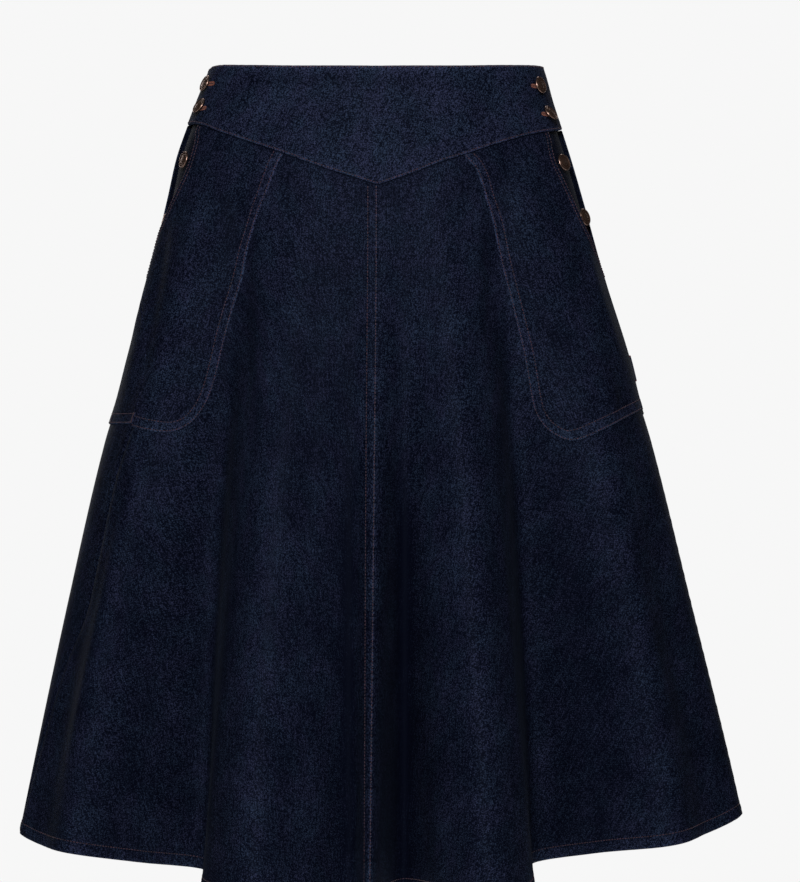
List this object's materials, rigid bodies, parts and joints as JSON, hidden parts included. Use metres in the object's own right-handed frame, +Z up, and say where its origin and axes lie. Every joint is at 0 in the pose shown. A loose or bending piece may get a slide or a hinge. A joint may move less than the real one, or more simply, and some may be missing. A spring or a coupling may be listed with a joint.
{
  "type": "flared denim skirt",
  "caption": "Flared denim skirt in its worn shape, hollow, with a pointed yoke, patch hip pockets, a lapped centre front seam and slanted buttoned side openings.",
  "frame": {"origin": "middle of the waist opening, level with the waist's top edge at the side seams, where the wearer holds it", "axes": "+Z up, along the longest extent; the wearer faces -Y and the wearer's left side is +X"},
  "size_m": [0.5856, 0.3982, 0.6605],
  "materials": {
    "denim": "matte indigo twill",
    "yoke_denim": "matte indigo twill, double",
    "old_bronze": "antiqued, turned",
    "tab_cloth": "matte, plain"
  },
  "bodies": {
    "root": {"front_yoke": "yoke_denim", "back_yoke": "yoke_denim", "front_panel_right": "denim", "front_panel_left": "denim", "back_panel_right": "denim", "back_panel_left": "denim", "front_pocket_right": "denim", "front_pocket_left": "denim", "back_pocket_right": "denim", "back_pocket_left": "denim", "button_stand_right": "denim", "button_stand_left": "denim", "side_tab": "tab_cloth", "button_left_1": "old_bronze", "button_left_2": "old_bronze", "button_left_3": "old_bronze", "button_left_4": "old_bronze", "button_right_1": "old_bronze", "button_right_2": "old_bronze", "button_right_3": "old_bronze", "button_right_4": "old_bronze"}
  },
  "joints": []
}
